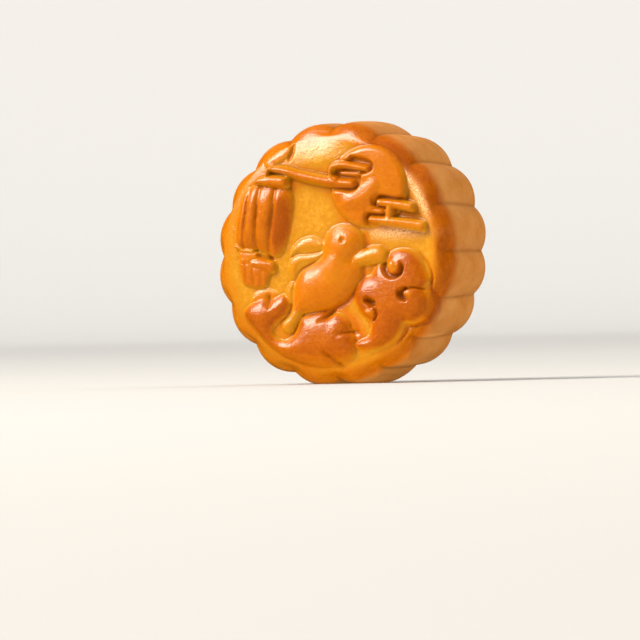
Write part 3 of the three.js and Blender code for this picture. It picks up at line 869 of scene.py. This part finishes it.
@dataclass
class Cake:
    """The whole cake as one closed skin. Sizes are in millimetres, and match the solid's."""

    radius: float = 37.5
    thickness: float = 28.0
    lobes: int = 16
    valley_depth: float = 1.76
    swell: float = 0.02  # share by which the wall bulges halfway
    taper: float = 0.02  # share by which it widens from front to back
    oval: float = 0.018
    oval_deg: float = 46.0
    shoulder: float = 7.8  # depth of the rounding from face to wall
    shoulder_from: float = 25.5  # radius at which it starts
    shoulder_lean: float = 5.0  # how much further out on the leaning side
    shoulder_lean_from: float = 0.5  # nearness to that side at which this begins
    fullness: float = 2.3  # 2 is a round shoulder, more is squarer
    lean_deg: float = 30.0  # side where the rim stands up
    base_round: float = 2.0
    relief: float = 2.9  # height of the tallest figures
    field_depth: float = 0.85
    field_dish: float = 0.7
    dish_from: Pair = (17.0, 31.0)
    field_lean: float = 0.016
    rim_from: float = 29.6
    rim_to: float = 34.2
    stands: Pair = (0.72, 0.97)  # nearness to the leaning side at which the rim starts to stand up
    roll: float = 2.4  # width of the soft edge where it doesn't
    roll_sink: float = 0.2
    slope: float = 0.36  # how steeply the field falls back near its top
    slope_from: float = 26.8
    slope_deg: float = 98.0
    slope_half: float = 0.36  # half angle that the slope takes up, in radians
    under_figure: Pair = (0.0, 0.4)  # heights between which a figure hides the field's edge
    squeeze: float = 0.065
    squeeze_from: Pair = (0.2, 0.45)
    crisp: tuple[Pair, Pair] = ((1.2, 0.2), (1.4, 0.5))  # insets where lobes get sharp, and what lean adds
    ribbed: tuple[Pair, Pair] = ((4.2, 0.5), (0.4, 0.0))  # insets where lobes show, and what lean adds
    rest_flat: float = 0.2
    curve_points: tuple[int, int] = (240, 24)  # along the shoulder, and round the base's edge
    disc_cells: int = 122
    disc_reach: float = 34.4
    rings: tuple[int, ...] = (16, 8, 5, 3)  # on the shoulder, the wall, the base's edge and the base
    hub: float = 0.5  # radius of the base's last ring before its middle
    name: str = "mooncake_crust"
    picture: Picture = field(default_factory=Picture)
    bake: Bake = Bake()

    def __post_init__(self) -> None:
        """Works out the sizes that follow from the others."""
        self.step = math.tau / self.lobes
        half = self.step / 2
        valley = self.radius - self.valley_depth
        inward = valley * math.cos(half) - self.radius
        across = valley * math.sin(half)
        self.lobe_arc = -(inward**2 + across**2) / (2 * inward)
        self.lobe_centre = self.radius - self.lobe_arc
        self.face_y = -self.thickness / 2
        self.middle_y = (self.relief - self.field_depth + self.field_dish) / 2
        long_axis = math.radians(self.oval_deg)
        pull = (1 + self.swell) * (1 + self.oval * math.cos(2 * (-math.pi / 2 + half - long_axis)))
        lowest = self.lobe_centre * math.cos(half) + self.lobe_arc
        self.centre_z = lowest * pull - self.rest_flat

    def build(self) -> bpy.types.Object:
        """Makes the skin and its crust attributes.

        Returns:
            The cake's object, at the origin, in metres.
        """
        bm = bmesh.new()
        layer = bm.verts.layers.float_vector.new("polar")
        edge = self._face_disc(bm, layer)
        self._wall_and_base(bm, layer, edge)
        bm.verts.ensure_lookup_table()
        polar = np.array([v[layer][:] for v in bm.verts])
        places, crust = self._shape(polar)
        for vert, place in zip(bm.verts, places):
            vert.co = Vector(place) * MM
        bm.verts.layers.float_vector.remove(bm.verts.layers.float_vector["polar"])
        bmesh.ops.recalc_face_normals(bm, faces=bm.faces)
        made = smooth_object(bm, self.name)
        for name, values in crust.items():
            made.data.attributes.new(name, "FLOAT", "POINT").data.foreach_set("value", values)
        return made

    def _face_disc(self, bm: bmesh.types.BMesh, layer: object) -> list[bmesh.types.BMEdge]:
        """Makes the face as a square grid, eased round, with rings evenly spaced along the skin.

        Args:
            bm: The mesh to add to.
            layer: Vertex layer for [way along the skin, angle, 0].

        Returns:
            The disc's outer edges.
        """
        cells = 2 * self.disc_cells
        bmesh.ops.create_grid(bm, x_segments=cells, y_segments=cells, size=1.0)
        for vert in bm.verts:
            x, z = vert.co.x, vert.co.y
            ring = max(abs(x), abs(z))
            if ring < 1e-9:
                vert[layer] = Vector((0, 0, 0))
                continue
            if abs(x) >= abs(z):
                angle = math.pi / 4 * z / x + (math.pi if x < 0 else 0)
            else:
                angle = math.pi / 2 - math.pi / 4 * x / z + (math.pi if z < 0 else 0)
            vert[layer] = Vector((ring * self.disc_reach, angle, 0))
        return [e for e in bm.edges if e.is_boundary]

    def _wall_and_base(
        self, bm: bmesh.types.BMesh, layer: object, edge: list[bmesh.types.BMEdge]
    ) -> None:
        """Draws the disc's edge on over the shoulder, the wall and the base, and closes it.

        Args:
            bm: The mesh to add to.
            layer: Vertex layer for [way along the skin, angle, 0].
            edge: The disc's outer edges.
        """
        _, ways = self._section()
        stops = [self.disc_reach]
        for end, count in zip(ways, self.rings):
            start = stops[-1]
            stops += [start + (end - start) * (i + 1) / count for i in range(count)]
        for way in stops[1:]:
            edge, ring = extruded(bm, edge)
            for vert in ring:
                vert[layer] = Vector((way, vert[layer][1], 0))
        bmesh.ops.pointmerge(bm, verts=ring, merge_co=(0, 0, 0))

    def _section(self) -> tuple[np.ndarray, tuple[float, ...]]:
        """Half section of the plain cake, from the middle of the face to the middle of the base.

        Returns:
            Rows of way along the skin, radius, y and turn over the shoulder, and the ways at which
            the shoulder, the wall, the base's rounding and the base end.
        """
        turns, corner = (np.linspace(0, math.pi / 2, count) for count in self.curve_points)
        bend = 2 / self.fullness
        radii = self.shoulder_from + (self.radius - self.shoulder_from) * np.sin(turns) ** bend
        depths = self.face_y + self.shoulder * (1 - np.cos(turns) ** bend)
        wall_end = -self.face_y - self.base_round
        low = self.radius - self.base_round * (1 - np.cos(corner))
        line = np.vstack(
            [
                [[0, self.face_y, 0]],
                np.stack([radii, depths, turns], 1),
                np.stack([low, wall_end + self.base_round * np.sin(corner), 0 * low + turns[-1]], 1),
                [[self.hub, -self.face_y, turns[-1]]],
            ]
        )
        ways = np.concatenate([[0], np.cumsum(np.hypot(*np.diff(line[:, :2], axis=0).T))])
        ends = (len(turns), len(turns) + 1, len(line) - 2, len(line) - 1)
        return np.column_stack([ways, line]), tuple(float(ways[i]) for i in ends)

    def _shape(self, polar: np.ndarray) -> tuple[np.ndarray, dict[str, np.ndarray]]:
        """Places every vertex and says how baked its crust is.

        Args:
            polar: Rows of way along the skin, angle and 0.

        Returns:
            The places in millimetres, and the values of each crust attribute.
        """
        section, ends = self._section()
        way, angle = polar[:, 0], polar[:, 1]
        plain, y, over = (np.interp(way, section[:, 0], section[:, i]) for i in (1, 2, 3))
        lean = 0.5 + 0.5 * np.cos(angle - math.radians(self.lean_deg))
        start = self.shoulder_from + self.shoulder_lean * ease(self.shoulder_lean_from, 1.0, lean)
        flat = np.minimum(1, way / self.shoulder_from)
        turned = start * flat + (self.radius - start) * np.sin(over) ** (2 / self.fullness)
        front = way <= ends[0]
        radius = np.where(front, turned, plain)
        turn = np.mod(self._squeezed(angle, y), self.step) - self.step / 2
        pull, lobed = self._pull(angle, turn, radius, y, lean)
        x, z = radius * pull * np.cos(angle), radius * pull * np.sin(angle)
        level, tops, fold, around = (np.where(front, v, 0.0) for v in self.picture.at(x, z))
        y = np.where(front, self._face(radius, y, x, z, lean, level), y)
        places = np.stack([x, y + self.middle_y, np.maximum(z + self.centre_z, 0.0)], 1)
        skin = Skin(radius, y, x, z, turn, lobed, tops, fold, around)
        crust = self.bake.marks(skin, self.step, self.face_y)
        return places, {name: values.astype(np.float32) for name, values in crust.items()}

    def _squeezed(self, angle: np.ndarray, y: np.ndarray) -> np.ndarray:
        """Angles with the lobes drawn together towards the sides, more so further back.

        Args:
            angle: Angles round the cake.
            y: Depths on the round cake.

        Returns:
            The angles at which the lobes are read.
        """
        along = (y - self.face_y) / self.thickness
        sideways = ease(*self.squeeze_from, np.abs(np.cos(angle)))
        return angle + self.squeeze * along * np.sin(2 * angle) * sideways

    def _pull(
        self, angle: np.ndarray, turn: np.ndarray, radius: np.ndarray, y: np.ndarray, lean: np.ndarray
    ) -> tuple[np.ndarray, np.ndarray]:
        """How much the lobes, the bulge and the oval widen the round cake.

        Args:
            angle: Angles round the cake.
            turn: Angles from the middle of the nearest lobe.
            radius: Radii on the round cake.
            y: Depths on the round cake.
            lean: Nearness to the side where the rim stands up, 0 to 1.

        Returns:
            Factors on the radius, and how strongly the lobes show.
        """
        across = self.lobe_centre * np.sin(turn)
        sharp = self.lobe_centre * np.cos(turn) + np.sqrt(self.lobe_arc**2 - across**2)
        rounded = self.radius - self.valley_depth * (0.5 - 0.5 * np.cos(math.tau * turn / self.step))
        inset = self.radius - radius
        crisp, lobed = (
            ease(*(end + more * lean for end, more in zip(*ends)), inset)
            for ends in (self.crisp, self.ribbed)
        )
        lobes = sharp * crisp + rounded * (1 - crisp)
        along = (y - self.face_y) / self.thickness
        fuller = self.taper * (along - 0.5) + self.swell * (1 - (2 * along - 1) ** 2)
        ovalness = self.oval * np.cos(2 * (angle - math.radians(self.oval_deg)))
        pull = (1 + lobed * (lobes / self.radius - 1)) * (1 + lobed * ovalness) * (1 + lobed * fuller)
        return pull, lobed * crisp

    def _face(
        self, radius: np.ndarray, round_y: np.ndarray, x: np.ndarray, z: np.ndarray,
        lean: np.ndarray, level: np.ndarray
    ) -> np.ndarray:
        """Depth of the face: field, rim and figures.

        Args:
            radius: Radii on the round cake.
            round_y: Depths on the round cake.
            x: Places across the face.
            z: Places up the face.
            lean: Nearness to the side where the rim stands up, 0 to 1.
            level: Heights of the figures.

        Returns:
            Values of y.
        """
        tilt = math.radians(self.lean_deg)
        share = ease(*self.stands, lean)
        base = self.face_y + self.field_depth
        base = base + self.field_lean * (x * math.cos(tilt) + z * math.sin(tilt))
        base = base - self.field_dish * (1 - share) * ease(*self.dish_from, radius)
        upward = hill(np.arctan2(z, x), math.radians(self.slope_deg), self.slope_half)
        past = radius - self.slope_from
        base = base + self.slope * upward * (past + np.sqrt(past**2 + 1.0)) / 2
        rolled = higher(base - self.roll_sink * self.roll, round_y, self.roll)
        rise = ease(self.rim_from, self.rim_to, radius)
        stood = base * (1 - rise) + round_y * rise
        body = rolled * (1 - share) + stood * share
        on_figure = ease(*self.under_figure, level)
        return body * (1 - on_figure) + np.maximum(body, base) * on_figure - level


# ---- The crust's finish ----


def add(
    tree: bpy.types.NodeTree, kind: str, inputs: dict[str | int, object], out: str | int = 0,
    **settings: object
) -> bpy.types.NodeSocket:
    """Adds a node with its settings, and its inputs as values or links.

    Args:
        tree: The material's node tree.
        kind: The node's type name, without ShaderNode.
        inputs: Input name or number to a value, or to the output socket that feeds it.
        out: Name or number of the output that is wanted.
        **settings: Properties of the node itself.

    Returns:
        That output of the new node.
    """
    node = tree.nodes.new("ShaderNode" + kind)
    for name, value in settings.items():
        setattr(node, name, value)
    for name, value in inputs.items():
        if isinstance(value, bpy.types.NodeSocket):
            tree.links.new(value, node.inputs[name])
        else:
            node.inputs[name].default_value = value
    return node.outputs[out]


@dataclass(frozen=True)
class BakedCrust:
    """Golden-syrup dough, pressed in a mould, brushed with egg on its face and baked.

    The egg wash makes the face shine and browns the relief, which stands nearest to the heat. The
    wall is bare dough, so it stays tan and dull. Shade is painted into the folds, and pale specks
    are painted highlights.
    """

    name: str = "egg-washed baked pastry"
    browns: tuple[tuple[float, str], ...] = (
        (0.0, "#C08420"), (0.19, "#AA700D"), (0.64, "#A95A00"), (1.0, "#8E4100"),
    )
    walls: tuple[str, str] = ("#A4631F", "#B67C3E")
    # Painted shade for the folds, and how much of it the deepest fold takes
    fold_shade_colour: str = "#6C3600"
    fold_shade_share: float = 0.75
    # Painted highlight: pale specks inside the rim
    highlight_colour: str = "#E6C294"
    highlight_specks: Triple = (0.3, 0.68, 0.8)  # noise where a painted highlight speck starts and is full, and its strength
    washed_roughness: float = 0.25
    bare_roughness: float = 0.6
    reflects: float = 0.48
    ior: float = 1.45
    start: Pair = (0.85, 0.15)  # share of the browns the browning runs through, and its start
    mottle_brown: float = 0.35
    grain_brown: float = 0.5
    mottle_wall: Pair = (1.6, 0.35)
    grain_wall: float = 0.6
    wash_edge: Pair = (0.4, 0.18)  # how ragged the wash's edge is, and where bare dough starts
    dent_share: float = 0.45
    pit_share: float = 0.3
    bump_strength: float = 0.6
    bump_mm: float = 0.5
    glow: float = 0.08  # light that wanders in the dough just below its surface
    glow_mm: float = 0.9
    glow_rgb: Triple = (1.0, 0.4, 0.1)
    mottle_mm: float = 6.0  # patches of uneven heat
    dent_mm: float = 2.6  # slackness of the dough
    grain_mm: float = 1.1  # flour grain, drawn coarse enough to show
    pit_mm: float = 0.5  # pin-pricks of steam
    noise_detail: tuple[float, ...] = (4.0, 1.0, 4.0, 1.0)  # of the four noises above
    noise_roughness: float = 0.6

    def build(self) -> bpy.types.Material:
        """Makes the material.

        Returns:
            The finished material.
        """
        material = bpy.data.materials.new(self.name)
        material.use_nodes = True
        tree = material.node_tree
        tree.nodes.clear()
        browning, wall, fold, painted_highlight = (
            add(tree, "Attribute", {}, "Fac", attribute_name=name)
            for name in ("browning", "wall", "fold", "painted_highlight")
        )
        mottle, dents, grain, pits = self._noises(tree)
        uneven = add(tree, "Math", {0: mottle, 1: 0.5}, operation="SUBTRACT")
        grainy = add(tree, "Math", {0: grain, 1: 0.5}, operation="SUBTRACT")
        # Multiplies the first of three values by the second, adds the third and stays in 0 to 1.
        plus = {"operation": "MULTIPLY_ADD", "use_clamp": True}
        baked = add(tree, "Math", {0: browning, 1: self.start[0], 2: self.start[1]}, **plus)
        baked = add(tree, "Math", {0: grainy, 1: self.grain_brown, 2: baked}, **plus)
        baked = add(tree, "Math", {0: uneven, 1: self.mottle_brown, 2: baked}, **plus)
        browned = add(tree, "ValToRGB", {"Fac": baked})
        stops = browned.node.color_ramp.elements
        stops[1].position = 1.0
        for place, _ in self.browns[1:-1]:
            stops.new(place)
        for stop, (_, colour) in zip(stops, self.browns):
            stop.color = linear(colour)
        blotch = add(tree, "Math", {0: grainy, 1: self.grain_wall, 2: self.mottle_wall[1]}, **plus)
        blotch = add(tree, "Math", {0: uneven, 1: self.mottle_wall[0], 2: blotch}, **plus)
        bare, bare_pale = (linear(colour) for colour in self.walls)
        plain = add(tree, "Mix", {0: blotch, 6: bare, 7: bare_pale}, 2, data_type="RGBA")
        edge = add(tree, "Math", {0: uneven, 1: self.wash_edge[0], 2: wall}, **plus)
        edge = add(tree, "MapRange", {"Value": edge, "From Min": self.wash_edge[1]})
        colour = add(tree, "Mix", {0: edge, 6: browned, 7: plain}, 2, data_type="RGBA")
        # Painted shade: the folds are mixed towards a dark brown.
        shade_in_folds = add(tree, "Math", {0: fold, 1: self.fold_shade_share}, operation="MULTIPLY")
        shade_colour = linear(self.fold_shade_colour)
        colour = add(tree, "Mix", {0: shade_in_folds, 6: colour, 7: shade_colour}, 2, data_type="RGBA")
        # Painted highlight: pale specks where the crust has painted highlights.
        low, high, most = self.highlight_specks
        specks = add(tree, "MapRange", {"Value": pits, "From Min": low, "From Max": high, "To Max": most})
        specks = add(tree, "Math", {0: specks, 1: painted_highlight}, operation="MULTIPLY")
        pale = linear(self.highlight_colour)
        colour = add(tree, "Mix", {0: specks, 6: colour, 7: pale}, 2, data_type="RGBA")
        dull = {"Value": wall, "To Min": self.washed_roughness, "To Max": self.bare_roughness}
        relief = add(tree, "Math", {0: pits, 1: self.pit_share, 2: 0.0}, **plus)
        relief = add(tree, "Math", {0: dents, 1: self.dent_share, 2: relief}, **plus)
        bump = {"Height": relief, "Strength": self.bump_strength, "Distance": self.bump_mm * MM}
        skin = add(
            tree,
            "BsdfPrincipled",
            {
                "Base Color": colour,
                "Roughness": add(tree, "MapRange", dull),
                "Normal": add(tree, "Bump", bump),
                "IOR": self.ior,
                "Specular IOR Level": self.reflects,
                "Subsurface Weight": self.glow,
                "Subsurface Radius": self.glow_rgb,
                "Subsurface Scale": self.glow_mm * MM,
            },
        )
        tree.links.new(skin, tree.nodes.new("ShaderNodeOutputMaterial").inputs["Surface"])
        return material

    def _noises(self, tree: bpy.types.NodeTree) -> list[bpy.types.NodeSocket]:
        """Adds the crust's four kinds of unevenness.

        Args:
            tree: The material's node tree.

        Returns:
            Noises of 0 to 1 for the mottling, the dents, the grain and the pits.
        """
        place = add(tree, "TexCoord", {}, "Object")
        sizes = (self.mottle_mm, self.dent_mm, self.grain_mm, self.pit_mm)
        return [
            add(
                tree,
                "TexNoise",
                {
                    "Vector": place,
                    "Scale": 1 / (size * MM),
                    "Detail": detail,
                    "Roughness": self.noise_roughness,
                },
            )
            for size, detail in zip(sizes, self.noise_detail)
        ]


# ---- The studio ----


@dataclass(frozen=True)
class SoftLight:
    """A rectangular soft light, aimed at the cake or at a place of its own. Lengths are in metres."""

    name: str
    way: Triple  # direction from what it is aimed at
    far: float
    size: Pair
    watts: float
    aim: Triple | None = None
    mirrored: bool = False  # whether glossy surfaces mirror it
    tint: str = "#FFFFFF"

    def hang(self, centre: Vector) -> None:
        """Puts the light in the scene.

        Args:
            centre: Middle of the cake.
        """
        lamp = bpy.data.lights.new(self.name, "AREA")
        lamp.shape = "RECTANGLE"
        lamp.size, lamp.size_y = self.size
        lamp.energy = self.watts
        lamp.color = linear(self.tint)[:3]
        made = bpy.data.objects.new(self.name, lamp)
        outward = Vector(self.way).normalized()
        turn = outward.to_track_quat("Z", "Y").to_matrix().to_4x4()
        aim = centre if self.aim is None else Vector(self.aim)
        made.matrix_world = Matrix.Translation(aim + outward * self.far) @ turn
        made.visible_glossy = self.mirrored
        bpy.context.scene.collection.objects.link(made)


@dataclass
class Studio:
    """A pale round sweep, soft lights and the camera. Lengths are in metres."""

    floor_colour: str = "#AFADA9"
    floor_roughness: float = 0.9
    floor_radius: float = 4.5
    floor_rise: float = 1.2  # radius of the curve at the floor's edge
    floor_steps: int = 12
    floor_segments: int = 96
    sky_colour: str = "#F4F4F2"
    sky_strength: float = 0.09
    camera_from: Triple = (0.936847, -2.045618, -0.015703)
    camera_ahead: Triple = (-0.41989651, 0.90757087, -0.00142818)
    camera_up: Triple = (0.01909473, 0.01040762, 0.99976351)
    lens_mm: float = 440.0
    sensor_mm: float = 36.0
    clip_end: float = 50.0
    # The key gives the highlights. The wash and the backdrop even out the paper, and the bounce
    # lights the low rim from below the paper, as a white table would.
    lights: tuple[SoftLight, ...] = (
        SoftLight(
            "key", (-0.55, -0.58, 0.6), 3.0, (1.6, 1.7), 197.0, mirrored=True, tint="#FFF8EE"
        ),
        SoftLight("side fill", (0.92, 0.40, 0.14), 3.0, (2.1, 0.75), 78.0),
        SoftLight("low fill", (0.25, -0.95, 0.06), 2.7, (1.3, 0.26), 18.0),
        SoftLight("overhead wash", (0.0, 0.0, 1.0), 3.0, (8.0, 9.0), 300.0, (-0.8, 1.6, 0.0)),
        SoftLight("backdrop", (0.2, -0.4, 0.9), 2.6, (5.0, 2.4), 90.0, (-2.4, 5.2, 0.2)),
        SoftLight("bounce", (0.45, -0.75, -0.5), 0.06, (0.09, 0.05), 0.075, (0.008, -0.012, 0.006)),
    )

    def build(self, centre: Vector) -> None:
        """Makes the floor, the camera, the lights and the sky.

        Args:
            centre: Middle of the cake.
        """
        self._floor()
        self._camera(centre)
        for light in self.lights:
            light.hang(centre)
        world = bpy.data.worlds.new("studio")
        world.use_nodes = True
        sky = world.node_tree.nodes["Background"]
        sky.inputs["Color"].default_value = linear(self.sky_colour)
        sky.inputs["Strength"].default_value = self.sky_strength
        bpy.context.scene.world = world
        world.cycles_visibility.glossy = False
        bpy.context.scene.view_settings.view_transform = "Standard"

    def _floor(self) -> None:
        """Makes a disc whose far edge curves up, so that no horizon shows."""
        bm = bmesh.new()
        bmesh.ops.create_circle(
            bm, cap_ends=True, radius=self.floor_radius, segments=self.floor_segments
        )
        edge = [e for e in bm.edges if e.is_boundary]
        for i in range(1, self.floor_steps + 1):
            turn = math.pi / 2 * i / self.floor_steps
            reach = self.floor_radius + self.floor_rise * math.sin(turn)
            edge, ring = extruded(bm, edge)
            for vert in ring:
                flat = Vector((vert.co.x, vert.co.y, 0)).normalized() * reach
                vert.co = (flat.x, flat.y, self.floor_rise * (1 - math.cos(turn)))
        floor = smooth_object(bm, "studio_floor")
        floor.data.materials.append(self._paper())
        # The crust doesn't mirror the paper, and the paper lets the bounce light through.
        floor.visible_glossy = False
        floor.visible_shadow = False

    def _paper(self) -> bpy.types.Material:
        """Makes the backdrop's matt paper, which looks pale and even because it has no shine.

        Returns:
            The finished material.
        """
        paper = bpy.data.materials.new("matt backdrop paper")
        paper.use_nodes = True
        skin = paper.node_tree.nodes["Principled BSDF"]
        skin.inputs["Base Color"].default_value = linear(self.floor_colour)
        skin.inputs["Roughness"].default_value = self.floor_roughness
        return paper

    def _camera(self, centre: Vector) -> None:
        """Makes the camera and places it from the cake's middle.

        Args:
            centre: Middle of the cake.
        """
        lens = bpy.data.cameras.new("camera")
        lens.lens = self.lens_mm
        lens.sensor_width = self.sensor_mm
        lens.clip_end = self.clip_end
        ahead, up = Vector(self.camera_ahead), Vector(self.camera_up)
        right = ahead.cross(up).normalized()
        turn = Matrix((right, right.cross(ahead), -ahead)).transposed().to_4x4()
        made = bpy.data.objects.new("camera", lens)
        made.matrix_world = Matrix.Translation(centre + Vector(self.camera_from)) @ turn
        bpy.context.scene.collection.objects.link(made)
        bpy.context.scene.camera = made


def main() -> None:
    """Builds the cake and the studio."""
    logging.basicConfig(level=logging.INFO, format="%(name)s: %(message)s")
    cake = Cake()
    crust = cake.build()
    crust.data.materials.append(BakedCrust().build())
    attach(crust, "root")
    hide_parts("mooncake")
    LOG.info("%s: %d faces", crust.name, len(crust.data.polygons))
    Studio().build(Vector((0.0, cake.middle_y, cake.centre_z)) * MM)


if __name__ == "__main__":
    main()
